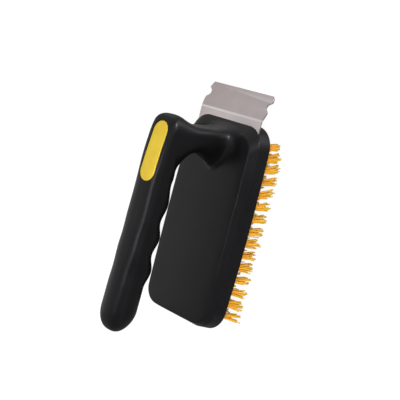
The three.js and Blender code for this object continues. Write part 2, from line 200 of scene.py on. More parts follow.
def joined_stacks(stacks):
    """Points and faces of several closed skins in one mesh."""
    points, faces, count = [], [], 0
    for stack in stacks:
        stack_points, stack_faces = closed_stack(stack)
        points.append(stack_points)
        faces += moved(stack_faces, count)
        count += len(stack_points)
    return np.concatenate(points), faces


def joined_cutters(name, stacks):
    return outward(mesh_object(name, *joined_stacks(stacks), smooth=False))


def box_stack(low, high):
    """Rings of a box between two opposite corners."""
    (x0, y0, z0), (x1, y1, z1) = low, high
    corners = [(x0, y0), (x1, y0), (x1, y1), (x0, y1)]
    return [np.array([(x, y, z) for x, y in corners], float) for z in (z0, z1)]


# ---- materials ---------------------------------------------------------------
def material(name, **inputs):
    """A Principled material, with inputs set by name (an underscore stands for a space)."""
    made = bpy.data.materials.new(name)
    made.use_nodes = True
    shader = made.node_tree.nodes["Principled BSDF"]
    for socket, value in inputs.items():
        shader.inputs[socket.replace("_", " ")].default_value = value
    return made, made.node_tree, shader


def add(tree, kind, inputs=None, **settings):
    """A new node of a kind, with values for its inputs and its settings."""
    node = tree.nodes.new(kind)
    for key, value in settings.items():
        setattr(node, key, value)
    for key, value in (inputs or {}).items():
        node.inputs[key].default_value = value
    return node


def noise(tree, scale, detail=2.0, roughness=0.5, stretch=(1, 1, 1)):
    """Noise fixed to the object, whose scale is in features per metre."""
    coordinates = add(tree, "ShaderNodeTexCoord")
    mapping = add(tree, "ShaderNodeMapping", {"Scale": stretch})
    texture = add(tree, "ShaderNodeTexNoise", {"Scale": scale, "Detail": detail, "Roughness": roughness})
    tree.links.new(coordinates.outputs["Object"], mapping.inputs["Vector"])
    tree.links.new(mapping.outputs["Vector"], texture.inputs["Vector"])
    return texture.outputs["Fac"]


def ramp(tree, factor, stops):
    """A colour ramp from its (position, colour) stops."""
    node = add(tree, "ShaderNodeValToRGB")
    elements = node.color_ramp.elements
    while len(elements) < len(stops):
        elements.new(0.5)
    for element, (position, colour) in zip(elements, stops):
        element.position = position
        element.color = (*colour, 1)
    tree.links.new(factor, node.inputs["Fac"])
    return node.outputs["Color"]


def rescale(tree, factor, low, high, source=(0.3, 0.7)):
    """Maps the source range to low ... high and holds it there outside."""
    node = add(
        tree,
        "ShaderNodeMapRange",
        {"From Min": source[0], "From Max": source[1], "To Min": low, "To Max": high},
    )
    tree.links.new(factor, node.inputs["Value"])
    return node.outputs["Result"]


def mix(tree, factor, a, b, blend="MIX"):
    """A colour mix whose factor and colours are sockets or plain values."""
    node = add(tree, "ShaderNodeMix", data_type="RGBA", blend_type=blend)
    for socket, value in ((0, factor), (6, a), (7, b)):
        if isinstance(value, bpy.types.NodeSocket):
            tree.links.new(value, node.inputs[socket])
        else:
            node.inputs[socket].default_value = value
    return node.outputs[2]


def bump(tree, shader, layers):
    """Chains bump nodes: layers of (height socket, strength, distance in metres)."""
    normal = None
    for height, strength, distance in layers:
        node = add(tree, "ShaderNodeBump", {"Strength": strength, "Distance": distance})
        tree.links.new(height, node.inputs["Height"])
        if normal is not None:
            tree.links.new(normal, node.inputs["Normal"])
        normal = node.outputs["Normal"]
    tree.links.new(normal, shader.inputs["Normal"])


def place(tree, axis):
    """One coordinate of the shared frame, in metres."""
    coordinates = add(tree, "ShaderNodeTexCoord")
    separate = add(tree, "ShaderNodeSeparateXYZ")
    tree.links.new(coordinates.outputs["Object"], separate.inputs["Vector"])
    return separate.outputs[axis]


def edge_mask(tree, low, high):
    """One on the piece's outer edges, nought on its flats."""
    geometry = add(tree, "ShaderNodeNewGeometry")
    return rescale(tree, geometry.outputs["Pointiness"], 0.0, 1.0, (low, high))


def black_plastic(name, dark, light, wear, roughness):
    """Fine-grained black plastic, with a cloudy colour and lighter scuffs along its edges that are partly a
    painted edge highlight.
    """
    made, tree, shader = material(name, Specular_IOR_Level=0.295)
    shader.inputs["Specular Tint"].default_value = (0.95, 0.92, 1.0, 1)
    cloud = noise(tree, 55, 4)
    colour = ramp(tree, cloud, [(0.3, dark), (0.7, light)])
    # the lighter colour on the edges is partly scuffing and partly a painted highlight along the ridges
    edges = edge_mask(tree, 0.52, 0.62)
    scuffs = rescale(tree, noise(tree, 420, 5, 0.65), 0.0, 1.0, (0.45, 0.62))
    scuffs_and_painted_edge_highlight = add(tree, "ShaderNodeMath", operation="MULTIPLY")
    tree.links.new(edges, scuffs_and_painted_edge_highlight.inputs[0])
    tree.links.new(scuffs, scuffs_and_painted_edge_highlight.inputs[1])
    tree.links.new(mix(tree, scuffs_and_painted_edge_highlight.outputs[0], colour, (*wear, 1)), shader.inputs["Base Color"])
    smudge = noise(tree, 28, 3, 0.6)
    tree.links.new(rescale(tree, smudge, *roughness), shader.inputs["Roughness"])
    grain = noise(tree, 3200, 2, 0.6)
    leather = noise(tree, 900, 3, 0.55)
    bump(tree, shader, [(leather, 0.10, 0.00010), (grain, 0.28, 0.00006)])
    return made


def yellow_rubber():
    """Matt stippled rubber, a little grimy."""
    made, tree, shader = material("yellow_rubber", Specular_IOR_Level=0.35)
    cloud = noise(tree, 90, 4)
    colour = ramp(tree, cloud, [(0.3, (0.80, 0.55, 0.034)), (0.7, (0.87, 0.625, 0.045))])
    grime = rescale(tree, noise(tree, 500, 5, 0.7), 0.0, 0.22, (0.55, 0.75))
    tree.links.new(mix(tree, grime, colour, (0.65, 0.44, 0.03, 1)), shader.inputs["Base Color"])
    tree.links.new(rescale(tree, noise(tree, 70, 3), 0.46, 0.58), shader.inputs["Roughness"])
    stipple = noise(tree, 2600, 1, 0.4)
    bump(tree, shader, [(noise(tree, 260, 3), 0.08, 0.0002), (stipple, 0.3, 0.00007)])
    return made


BEND_HIGHLIGHT_REACH = (0.4 * MM, 1.1 * MM)  # the painted highlight along the bend: fully bright within the first distance, gone at the second


def stainless():
    """Steel plate brushed from rear to front, with a painted highlight: a bright line of colour along its
    bend.
    """
    made, tree, shader = material("brushed_stainless", Metallic=1.0)
    lines = noise(tree, 260, 6, 0.7, (22, 0.7, 0.7))
    broad = noise(tree, 90, 4, 0.6)
    base = ramp(tree, lines, [(0.25, (0.68, 0.600, 0.594)), (0.75, (0.74, 0.655, 0.648))])
    tint = ramp(tree, broad, [(0.3, (0.94, 0.925, 0.925)), (0.7, (1.0, 0.99, 0.99))])
    colour = mix(tree, 1.0, base, tint, "MULTIPLY")
    bend_y = float(ORIGIN[1]) + (BLADE_BEND_Y - 0.1) * MM
    offset = add(tree, "ShaderNodeMath", {1: bend_y}, operation="SUBTRACT")
    tree.links.new(place(tree, "Y"), offset.inputs[0])
    away = add(tree, "ShaderNodeMath", operation="ABSOLUTE")
    tree.links.new(offset.outputs[0], away.inputs[0])
    # painted highlight: a lighter colour in a strip along the bend stands in for the bend's reflection
    painted_bend_highlight = rescale(tree, away.outputs[0], 1.0, 0.0, BEND_HIGHLIGHT_REACH)
    colour = mix(tree, painted_bend_highlight, colour, (1.0, 0.955, 0.95, 1))
    edges = edge_mask(tree, 0.53, 0.66)
    tree.links.new(mix(tree, edges, colour, (0.82, 0.78, 0.77, 1)), shader.inputs["Base Color"])
    tree.links.new(rescale(tree, lines, 0.30, 0.40, (0.25, 0.75)), shader.inputs["Roughness"])
    scratches = noise(tree, 900, 4, 0.75, (6, 0.25, 0.25))
    bump(tree, shader, [(lines, 0.06, 0.00003), (scratches, 0.06, 0.00002)])
    return made


def screw_steel():
    """Spotted screw steel, bright on its edges."""
    made, tree, shader = material("screw_steel", Metallic=1.0)
    spots = noise(tree, 700, 5, 0.65)
    colour = ramp(tree, spots, [(0.3, (0.28, 0.27, 0.27)), (0.7, (0.46, 0.45, 0.45))])
    edges = edge_mask(tree, 0.53, 0.64)
    tree.links.new(mix(tree, edges, colour, (0.66, 0.65, 0.64, 1)), shader.inputs["Base Color"])
    tree.links.new(rescale(tree, spots, 0.26, 0.44), shader.inputs["Roughness"])
    bump(tree, shader, [(noise(tree, 2400, 3), 0.15, 0.00004)])
    return made


def bristle_nylon():
    """Golden nylon, paler at the tips and darker towards the roots in painted shade, with small differences
    between bristles and traces of soot.
    """
    made, tree, shader = material("bristle_nylon", Specular_IOR_Level=0.5, Subsurface_Weight=0.12)
    shader.inputs["Subsurface Radius"].default_value = (0.0012, 0.0006, 0.0002)
    shader.inputs["Subsurface Scale"].default_value = 0.6
    height = rescale(tree, place(tree, "Z"), 0.0, 1.0, (0.0, ORIGIN[2]))
    # darker towards the roots: painted shade where the tufts crowd in under the block
    length = ramp(tree, height, [
        (0.0, (0.97, 0.64, 0.06)), (0.3, (0.95, 0.54, 0.03)),
        (0.7, (0.90, 0.42, 0.018)), (1.0, (0.66, 0.24, 0.008)),
    ])
    geometry = add(tree, "ShaderNodeNewGeometry")
    each = ramp(tree, geometry.outputs["Random Per Island"], [
        (0.0, (0.80, 0.70, 0.55)), (0.4, (0.96, 0.93, 0.88)), (1.0, (1.0, 1.0, 1.0)),
    ])
    colour = mix(tree, 1.0, length, each, "MULTIPLY")
    soot = rescale(tree, noise(tree, 320, 4, 0.6), 0.0, 0.22, (0.58, 0.75))
    tree.links.new(mix(tree, soot, colour, (0.30, 0.13, 0.012, 1)), shader.inputs["Base Color"])
    tree.links.new(rescale(tree, noise(tree, 800, 3), 0.34, 0.5), shader.inputs["Roughness"])
    bump(tree, shader, [(noise(tree, 2400, 3, 0.6, (1, 1, 0.25)), 0.25, 0.00008)])
    return made


# in both plastics the wear colour lightens the edges: partly scuffs, partly a painted edge highlight
housing_plastic = black_plastic(
    "soft_touch_black",
    dark=(0.0026, 0.0025, 0.0027),
    light=(0.0038, 0.0036, 0.0038),
    wear=(0.018, 0.017, 0.018),
    roughness=(0.33, 0.42),
)
base_plastic = black_plastic(
    "moulded_black",
    dark=(0.0025, 0.0024, 0.0026),
    light=(0.0037, 0.0035, 0.0037),
    wear=(0.016, 0.015, 0.016),
    roughness=(0.38, 0.48),
)
pad_material, blade_material = yellow_rubber(), stainless()
screw_material, bristle_material = screw_steel(), bristle_nylon()


def finish_piece(obj, made, slot, *nodes):
    """Gives a piece its material and hands it to the frame in place of CAD nodes."""
    obj.data.materials.clear()
    obj.data.materials.append(made)
    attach(obj, "root")
    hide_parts(*nodes)
    return obj


# ---- head outline ------------------------------------------------------------
CORNER_STEPS = 18
SIDE_STEPS = 30


def outline(shape, z):
    """Rounded rectangle with bowed long sides, counter-clockwise from above."""
    half, front, rear, radius, bow = (shape[k] for k in ("half", "front", "rear", "radius", "bow"))
    middle, straight = (front + rear) / 2, (front - rear) / 2 - radius
    points = []

    def corner(cx, cy, start):
        for turn in quarter(CORNER_STEPS):
            a = start + turn
            points.append((cx + radius * math.cos(a), cy + radius * math.sin(a), z))

    def side(sign):
        for i in range(1, SIDE_STEPS):
            along = -1 + 2 * i / SIDE_STEPS
            x = sign * (half + bow * (1 - along * along))
            points.append((x, middle + sign * along * straight, z))

    corner(half - radius, front - radius, 0)
    corner(-half + radius, front - radius, math.pi / 2)
    side(-1)
    corner(-half + radius, rear + radius, math.pi)
    corner(half - radius, rear + radius, 1.5 * math.pi)
    side(1)
    return np.array(points)


def inset(shape, amount):
    """The outline drawn in by an amount all round."""
    change = {"half": -amount, "front": -amount, "rear": amount, "radius": -amount, "bow": 0}
    return {k: shape[k] + change[k] for k in shape}


def blended(a, b, t):
    """The outline between two others."""
    return {k: lerp(a[k], b[k], t) for k in a}


# ---- housing: cover plate and grip -------------------------------------------
COVER_BOTTOM, COVER_TOP = 10.5, 16.5
COVER_SPARE = 2.0  # the cover is made this much deeper, then cut flat
WALL_LEVELS, WALL_BULGE = (0.12, 0.3, 0.5, 0.7), 0.12
RIDGE_DEPTH, RIDGE_INSET, RIDGE_STEPS = 0.75, 1.1, 6  # the rounding between wall and top face
CROWN_DROP, CROWN_REACH, CROWN_STEPS = 0.16, 9.0, 5  # the top face sinks this much towards its rim


def cover_mesh():
    """The cover plate: sloped walls that bulge a little, a rounded ridge and a crowned top face."""
    height = COVER_TOP - COVER_BOTTOM
    rings = [outline(HEAD, COVER_BOTTOM - COVER_SPARE), outline(HEAD, COVER_BOTTOM)]
    wall = 1 - RIDGE_DEPTH / height
    for t in WALL_LEVELS:
        level = COVER_BOTTOM + t * wall * height + WALL_BULGE * math.sin(math.pi * t)
        rings.append(outline(blended(HEAD, TOP, t * wall), level))
    wall_end = blended(HEAD, TOP, wall)
    for a in quarter(RIDGE_STEPS):
        drop = CROWN_DROP + (RIDGE_DEPTH - CROWN_DROP) * (1 - math.sin(a))
        rings.append(outline(inset(wall_end, RIDGE_INSET * (1 - math.cos(a))), COVER_TOP - drop))
    for i in range(1, CROWN_STEPS + 1):
        share = i / CROWN_STEPS
        inward = lerp(RIDGE_INSET, CROWN_REACH, share)
        rings.append(outline(inset(wall_end, inward), COVER_TOP - CROWN_DROP * (1 - share) ** 2))
    return closed_stack(rings)


# The neck's cross-sections: Y and level of the front or back, Y and level of the finger side, half
# width, the share of the depth where it is widest, and how square the back and the finger side are.
NECK_STATIONS = [
    (73.2, 11.8, 37.4, 11.8, 20, 0.56, 2.6, 1.45),
    (72.2, 13.8, 37.8, 13.8, 18.4, 0.56, 2.7, 1.45),
    (70.6, 16.6, 38.6, 16.6, 16.2, 0.57, 2.9, 1.45),
    (69.2, 20.4, 40.2, 20, 14.2, 0.58, 3.2, 1.5),
    (67.7, 26, 42.9, 25.6, 13.2, 0.58, 3.5, 1.7),
    (66.8, 33, 45.6, 32.4, 12.9, 0.57, 3.7, 2.2),
    (66.1, 40, 46.6, 38.2, 12.8, 0.57, 3.6, 2.6),
    (66.2, 47, 45.8, 43.4, 12.8, 0.57, 3.0, 2.8),
    (67.8, 54, 43.0, 47.4, 12.8, 0.57, 2.6, 2.8),
    (69.8, 60, 39.8, 50.1, 12.8, 0.57, 2.4, 2.7),
    (70.2, 64.4, 36.6, 52.0, 12.8, 0.57, 2.7, 2.6),
    (69.6, 68.1, 33.4, 53.4, 12.8, 0.58, 3.2, 2.5),
    (67, 70.8, 30.2, 54.2, 12.8, 0.59, 4.0, 2.4),
    (61.5, 72, 26.8, 54.8, 12.8, 0.6, 4.8, 2.4),
]
GRIP_START_Y, GRIP_INNER_END_Y, GRIP_OUTER_END_Y, GRIP_REAR_Y = 21.5, -69.9, -73.6, -88.9
GRIP_HALF_WIDTH, REAR_WIDENING = 13.0, 0.5
BACK_POWER, PAD_EXTRA_POWER, REAR_LESS_POWER, FINGER_POWER = 3.3, 1.9, 0.8, 2.4
WIDEST_SHARE, REAR_WIDEST_SHARE = 0.6, 0.52
SOFTEN_SHARES, FULL_SQUARE_Y = (0.25, 0.95), 55  # where the grip turns softer, where it is squarest
OUTER_LEAD, LEAD_SHARE = 31, 0.45  # at its start the back lies this far in front of the finger side
END_LEVEL, END_BACK_POWER, END_FINGER_POWER, END_SIDE_POWER = 66.9, 0.6, 1.78, 0.85
FINGER_LEVEL, FINGER_RISE = 53.9, 0.012  # the finger side rises towards the rear
FINGER_PITCH, FINGER_FIRST_Y, FINGER_DEPTH = 23.85, 6.3, 1.9
LAST_VALLEY_Y = FINGER_FIRST_Y - 2.5 * FINGER_PITCH
FINGER_FADE, FADE_END_Y = 0.3, 10  # the first swelling is lower by this share
BACK_LEVEL, BACK_RISE, BACK_RISE_START_Y, BACK_RISE_END_Y = 75.0, 3.6, 10, -84
ARCH_START_Y, ARCH_LENGTH, ARCH_DROP = 20, 45.4, 3.7
GRIP_STEPS, NECK_STEPS, END_STEPS = 150, 8, 26
LEAD_IN = 1 / 19  # share of the grip that steers the end of the neck's curve
SECTION_POINTS = 120


def finger_line(y):
    """Level of the grip's finger side: three finger swellings, then even from the last valley on."""
    wave = math.cos((max(y, LAST_VALLEY_Y) - FINGER_FIRST_Y) / FINGER_PITCH * 2 * math.pi)
    depth = FINGER_DEPTH * (1 - FINGER_FADE * smoothstep(y, -FADE_END_Y, FADE_END_Y))
    return FINGER_LEVEL + FINGER_RISE * (FINGER_FIRST_Y - y) - depth * wave


def back_line(y):
    """Level of the grip's back: highest at the rear, sinking in an arch under the thumb pad."""
    arch = ARCH_DROP * max(0.0, (y - ARCH_START_Y) / ARCH_LENGTH) ** 1.5
    return BACK_LEVEL - arch + BACK_RISE * smoothstep(-y, -BACK_RISE_START_Y, -BACK_RISE_END_Y)


def grip_station(t):
    """The cross-section at a share of the grip's length: squarer under the pad, softer at the rear."""
    inner = lerp(GRIP_START_Y, GRIP_INNER_END_Y, t)
    outer = inner + OUTER_LEAD * (1 - min(t / LEAD_SHARE, 1)) ** 2
    outer += (GRIP_OUTER_END_Y - GRIP_INNER_END_Y) * smoothstep(t, 0.5, 1)
    soften = smoothstep(t, *SOFTEN_SHARES)
    half = GRIP_HALF_WIDTH + REAR_WIDENING * soften
    widest = lerp(WIDEST_SHARE, REAR_WIDEST_SHARE, soften)
    power = BACK_POWER + PAD_EXTRA_POWER * smoothstep(outer, ARCH_START_Y, FULL_SQUARE_Y)
    power -= REAR_LESS_POWER * soften
    return np.array([outer, back_line(outer), inner, finger_line(inner), half, widest, power, FINGER_POWER])


def catmull_rom(a, b, c, d, t):
    """The curve between b and c of four control points."""
    square, cube = 2 * a - 5 * b + 4 * c - d, 3 * b - a - 3 * c + d
    return 0.5 * (2 * b + (c - a) * t + square * t**2 + cube * t**3)


def end_station(last, angle):
    """The rounded rear end: the last cross-section shrinks over a quarter turn."""
    along, shrink = math.sin(angle), math.cos(angle)
    return np.array([
        lerp(last[0], GRIP_REAR_Y, along), lerp(END_LEVEL, last[1], shrink**END_BACK_POWER),
        lerp(last[2], GRIP_REAR_Y, along), lerp(END_LEVEL, last[3], shrink**END_FINGER_POWER),
        last[4] * shrink**END_SIDE_POWER, *last[5:],
    ])


def stations():
    """Neck stations through a Catmull-Rom curve, then the grip's own lines, then its rounded end."""
    controls = [np.array(s, float) for s in NECK_STATIONS] + [grip_station(0), grip_station(LEAD_IN)]
    controls.insert(0, 2 * controls[0] - controls[1])
    made = []
    for i in range(1, len(controls) - 2):
        four = controls[i - 1 : i + 3]
        made += [catmull_rom(*four, step / NECK_STEPS) for step in range(NECK_STEPS)]
    made += [grip_station(i / GRIP_STEPS) for i in range(GRIP_STEPS + 1)]
    return made + [end_station(made[-1], angle) for angle in quarter(END_STEPS)[1:-1]]


def section(station):
    """A ring of two half superellipses, laid from the finger side to the back."""
    outer_y, outer_z, inner_y, inner_z, half, widest, outer_power, inner_power = station
    c, s = np.cos(full_turn(SECTION_POINTS)), np.sin(full_turn(SECTION_POINTS))
    power = np.where(s >= 0, 2 / outer_power, 2 / inner_power)
    x = half * np.sign(c) * np.abs(c) ** power
    reach = np.abs(s) ** power
    depth = np.where(s >= 0, widest + (1 - widest) * reach, widest - widest * reach)
    return np.stack([x, lerp(inner_y, outer_y, depth), lerp(inner_z, outer_z, depth)], 1)


def grip_mesh():
    return closed_stack([section(s) for s in stations()])


def neighbours(mesh):
    """Point numbers at the two ends of every edge."""
    edges = np.empty(len(mesh.edges) * 2, np.int64)
    mesh.edges.foreach_get("vertices", edges)
    return edges.reshape(-1, 2)


def relax(points, edges, weights, rounds, back=0.0):
    """Laplacian smoothing by weights; with back, each round is followed by one that swells."""
    count = np.bincount(edges.ravel(), minlength=len(points))[:, None].astype(float)
    for _ in range(rounds):
        for factor in (0.5, -back) if back else (0.5,):
            total = np.zeros_like(points)
            for near, far in (edges.T, edges.T[::-1]):
                for axis in range(3):
                    total[:, axis] += np.bincount(near, points[far, axis], len(points))
            points = points + factor * weights[:, None] * (total / count - points)
    return points


def nearest(tree, points):
    """Closest places on a surface, and their distances."""
    found = [tree.find_nearest(Vector(p)) for p in points]
    return np.array([f[0] for f in found]), np.array([f[3] for f in found])


VOXEL = 0.62
SNAP_NEAR, SNAP_FAR = 0.8, 1.6  # distance from the meeting line where snapping begins and is whole
SNAP_REACH = 0.6  # only points this close to a surface are snapped to it
FILLET_REACH, FRONT_FILLET_REACH = 2.2, 5.0  # from where the cover and the neck meet
FRONT_FROM_Y, FRONT_TO_Y = 44, 54
FILLET_FROM_LEVEL, FILLET_TO_LEVEL = 12.4, 14.6
FILLET_ROUNDS, POLISH_ROUNDS, POLISH_SWELL = 140, 3, 0.52


def snapped(block, cover, grip):
    """Moves points onto the exact surfaces, except near where the two meet; also gives that distance."""
    cover_tree, grip_tree = (
        BVHTree.FromPolygons([Vector(p) for p in points], faces) for points, faces in (cover, grip)
    )
    cover_at, cover_far = nearest(cover_tree, block)
    grip_at, grip_far = nearest(grip_tree, block)
    junction = np.maximum(cover_far, grip_far)
    at = np.where((cover_far < grip_far)[:, None], cover_at, grip_at)
    on_surface = np.minimum(cover_far, grip_far) < SNAP_REACH
    exact = smoothstep(junction, SNAP_NEAR, SNAP_FAR) * on_surface
    return block + exact[:, None] * (at - block), junction


def fillet_weights(block, junction):
    """One where the cover and the neck meet, fading out over the fillet's reach."""
    front = smoothstep(block[:, 1], FRONT_FROM_Y, FRONT_TO_Y)
    reach = lerp(FILLET_REACH, FRONT_FILLET_REACH, front)
    above_wall = smoothstep(block[:, 2], FILLET_FROM_LEVEL, FILLET_TO_LEVEL)
    return (1 - smoothstep(junction / reach, 0.25, 1.0)) * above_wall


def cut_flat(mesh, level):
    """Cuts a closed mesh off below a level of the block frame and closes it there."""
    bm = bmesh.new()
    bm.from_mesh(mesh)
    everything = bm.verts[:] + bm.edges[:] + bm.faces[:]
    plane = Vector((0, 0, ORIGIN[2] + level * MM))
    sliced = bmesh.ops.bisect_plane(
        bm, geom=everything, plane_co=plane, plane_no=(0, 0, 1), clear_inner=True
    )
    rim = [e for e in sliced["geom_cut"] if isinstance(e, bmesh.types.BMEdge)]
    bmesh.ops.contextual_create(bm, geom=rim)
    bmesh.ops.recalc_face_normals(bm, faces=bm.faces)
    bm.to_mesh(mesh)
    bm.free()


def housing_object():
    """Cover and grip as one skin, with a smooth fillet between them and a flat underside."""
    cover, grip = cover_mesh(), grip_mesh()
    points = np.concatenate([cover[0], grip[0]])
    obj = outward(mesh_object("grip_and_cover", points, cover[1] + moved(grip[1], len(cover[0]))))
    remesh = obj.modifiers.new("remesh", "REMESH")
    remesh.mode = "VOXEL"
    remesh.voxel_size = VOXEL * MM
    mesh = baked(obj).data
    co = np.empty(len(mesh.vertices) * 3, np.float32)
    mesh.vertices.foreach_get("co", co)
    block, junction = snapped((co.reshape(-1, 3).astype(float) - ORIGIN) / MM, cover, grip)
    edges = neighbours(mesh)
    block = relax(block, edges, fillet_weights(block, junction), FILLET_ROUNDS)
    block = relax(block, edges, np.ones(len(block)), POLISH_ROUNDS, back=POLISH_SWELL)
    mesh.vertices.foreach_set("co", metres(block).astype(np.float32).ravel())
    mesh.update()
    cut_flat(mesh, COVER_BOTTOM)
    return obj


# ---- thumb pad -----------------------------------------------------------------
PAD_FRONT_Y, PAD_REAR_Y = 64.7, 20.3
PAD_HALF_WIDTH, PAD_THICKNESS = 8.0, 1.9
PAD_GROOVE = 0.45
PAD_CROWN, PAD_PROUD, PAD_EDGE_R, PAD_EDGE_STEPS = 0.4, 0.1, 0.7, 6
PAD_TOP_INSETS = (1.9, 2.8, 3.7, 4.6, 5.5, 6.4, 7.3, PAD_HALF_WIDTH)
PAD_ARC_STEPS, PAD_SIDE_STEPS = 40, 24


def pad_ring(offset, drop, crown=0.0):
    """The pad's oval, drawn in by offset and held at a drop below the arched back."""
    radius = max(PAD_HALF_WIDTH - offset, 0.02)  # at the spine the ring keeps its points apart
    front, rear = PAD_FRONT_Y - PAD_HALF_WIDTH, PAD_REAR_Y + PAD_HALF_WIDTH
    points = []

    def put(x, y):
        """A point on the arched back, sunk towards the pad's sides by the crown."""
        points.append((x, y, back_line(y) - drop - crown * abs(x / PAD_HALF_WIDTH) ** 3))

    for sign, near, far in ((1, front, rear), (-1, rear, front)):
        for i in range(PAD_ARC_STEPS + 1):
            a = i / PAD_ARC_STEPS * math.pi
            put(sign * radius * math.cos(a), near + sign * radius * math.sin(a))
        for i in range(1, PAD_SIDE_STEPS):
            put(-sign * radius, lerp(near, far, i / PAD_SIDE_STEPS))
    return np.array(points)


def pad_object():
    """The inlay: a flat bottom, upright sides, a rounded rim and a crowned top just proud of the grip."""
    rings = [pad_ring(PAD_HALF_WIDTH, PAD_THICKNESS), pad_ring(PAD_GROOVE, PAD_THICKNESS)]
    for a in quarter(PAD_EDGE_STEPS):
        offset = PAD_GROOVE + PAD_EDGE_R * (1 - math.cos(a))
        rings.append(pad_ring(offset, PAD_EDGE_R * (1 - math.sin(a)) - PAD_PROUD, PAD_CROWN))
    rings += [pad_ring(offset, -PAD_PROUD, PAD_CROWN) for offset in PAD_TOP_INSETS]
    return skin_object("thumb_pad_soft", rings)


def pad_pocket():
    """A cutter for the pad's seat, which reaches well above the grip's back."""
    floor, above = PAD_THICKNESS + FIT_GAP, -6
    corners = ((PAD_HALF_WIDTH, floor), (0, floor), (0, above), (PAD_HALF_WIDTH, above))
    return joined_cutters("pocket", [[pad_ring(offset, drop) for offset, drop in corners]])


# ---- base block ----------------------------------------------------------------
BASE_TOP, BASE_EDGE_R, BASE_EDGE_STEPS, BASE_CHAMFER = 10.2, 0.9, 6, 0.25
ROWS, ROW_PITCH = 15, 9.07
COLUMNS, COLUMN_PITCH = 7, 10.5
HOLE_R, HOLE_DEPTH, HOLE_RIM = 2.35, 6.0, 0.35
REBATE_GAP = 0.4
CLEAR = 1.0  # cutters start this far outside what they cut
SCREW_X, SCREW_Y = 26.25, 6.5 * ROW_PITCH
SCREW_SHANK_R, SCREW_HEAD_R, COUNTERBORE_DEPTH, COUNTERBORE_RIM = 1.6, 2.8, 3.1, 0.25
SCREW_SIDES = 48
SCREW_PLACES = [(SCREW_X, SCREW_Y), (-SCREW_X, SCREW_Y), (SCREW_X, -SCREW_Y), (-SCREW_X, -SCREW_Y)]
BLADE_THICKNESS, BLADE_TOP, BLADE_REAR_Y, BLADE_HALF_REAR = 1.1, 10.1, 46.0, 32.6
BLADE_SHIFT_X = -1.1  # the plate sits this far off the middle


def tuft_x(column):
    return (column - (COLUMNS - 1) / 2) * COLUMN_PITCH


def row_y(row):
    return ((ROWS - 1) / 2 - row) * ROW_PITCH


def base_object():
    """The block with its rounded, flared foot, the blade's rebate, the tuft holes and the counterbores."""
    foot = inset(HEAD, -BASE_FLARE)
    rings = []
    for a in quarter(BASE_EDGE_STEPS):
        rings.append(outline(inset(foot, BASE_EDGE_R * (1 - math.sin(a))), BASE_EDGE_R * (1 - math.cos(a))))
    rings.append(outline(HEAD, BASE_TOP - BASE_CHAMFER))
    rings.append(outline(inset(HEAD, BASE_CHAMFER), BASE_TOP))
    obj = skin_object("base_moulding", rings)
    left, right = (BLADE_SHIFT_X + side * (BLADE_HALF_REAR + REBATE_GAP) for side in (-1, 1))
    rebate_low = (left, BLADE_REAR_Y - FIT_GAP, BLADE_TOP - BLADE_THICKNESS - FIT_GAP)
    stacks = [box_stack(rebate_low, (right, HEAD["front"] + 15, BASE_TOP + 5))]
    for row in range(ROWS):
        for column in range(COLUMNS):
            stacks.append(cylinder(HOLE_R, -CLEAR, HOLE_DEPTH, tuft_x(column), row_y(row), flare=HOLE_RIM))
    cut(obj, joined_cutters("holes", stacks))
    cut(obj, joined_cutters("counterbores", [
        cylinder(SCREW_HEAD_R + FIT_GAP, -CLEAR, COUNTERBORE_DEPTH, x, y, SCREW_SIDES, COUNTERBORE_RIM)
        for x, y in SCREW_PLACES
    ]))
    cut(obj, joined_cutters("shanks", [shank_hole(x, y) for x, y in SCREW_PLACES]))
    return sharpen(obj, degrees=35)


def shank_hole(x, y):
    """A cutter for a screw's shank, from inside its counterbore up through block and blade."""
    return cylinder(SCREW_SHANK_R + FIT_GAP, 1, 20, x, y)


# ---- screws ----------------------------------------------------------------------
SCREW_HEAD_HEIGHT, SCREW_END = 2.1, 14.2
SOCKET_R, SOCKET_DEPTH = 1.3, 1.3
FINE = 1e-4  # stands for a radius of nought, because a ring keeps its points


def screw_object(name, x, y):
    """A socket-head screw seen from its head: socket, rounded rim, head, shank and blunt point."""
    under = COUNTERBORE_DEPTH - FIT_GAP
    face = under - SCREW_HEAD_HEIGHT
    floor = face + SOCKET_DEPTH
    socket = [(SOCKET_R - 0.15, floor), (SOCKET_R, floor - 0.1), (SOCKET_R, face + 0.18)]
    profile = [
        (FINE, floor), *socket, (SOCKET_R + 0.18, face),
        (SCREW_HEAD_R - 0.75, face), (SCREW_HEAD_R - 0.42, face + 0.08), (SCREW_HEAD_R - 0.18, face + 0.28),
        (SCREW_HEAD_R - 0.03, face + 0.6), (SCREW_HEAD_R, face + 0.8), (SCREW_HEAD_R, under - 0.15),
        (SCREW_HEAD_R - 0.15, under), (SCREW_SHANK_R, under), (SCREW_SHANK_R, SCREW_END - 1.4),
        (0.5, SCREW_END), (FINE, SCREW_END),
    ]
    angles = full_turn(SCREW_SIDES)
    hexagon = 1 / np.cos((angles + math.pi / 6) % (math.pi / 3) - math.pi / 6)
    rings = []
    for radius, z in profile:
        shape = hexagon if (radius, z) in socket else 1.0
        rings.append(circle(x, y, z, radius * shape, angles))
    return sharpen(skin_object(name, rings), degrees=40)


# ---- scraper blade -----------------------------------------------------------------
BLADE_BENT_LENGTH = 20.3
BLADE_ANGLE = math.radians(19)
BLADE_HALF_BEND, BLADE_HALF_TIP = 32.8, 32.6
BLADE_FLARE, NOTCH_DEPTH = 0.8, 3.2
BEND_R, BEND_STEPS = 2.2, 8
BEND_START_Y = BLADE_BEND_Y - BEND_R * math.tan(BLADE_ANGLE / 2)
BLADE_END = BLADE_BEND_Y + BLADE_BENT_LENGTH  # measured along the flat blank
EDGE_LENGTH, EDGE_THINNING = 0.9, 0.45  # the scraping edge is ground thinner from below
BEVEL_WIDTH, BEVEL_ANGLE = 0.16, math.radians(35)


def bezier(points, steps):
    """A quadratic or cubic Bezier curve, without its first point."""
    made = []
    for i in range(1, steps + 1):
        level = [np.array(p, float) for p in points]
        while len(level) > 1:
            level = [lerp(a, b, i / steps) for a, b in zip(level, level[1:])]
        made.append(tuple(level[0]))
    return made


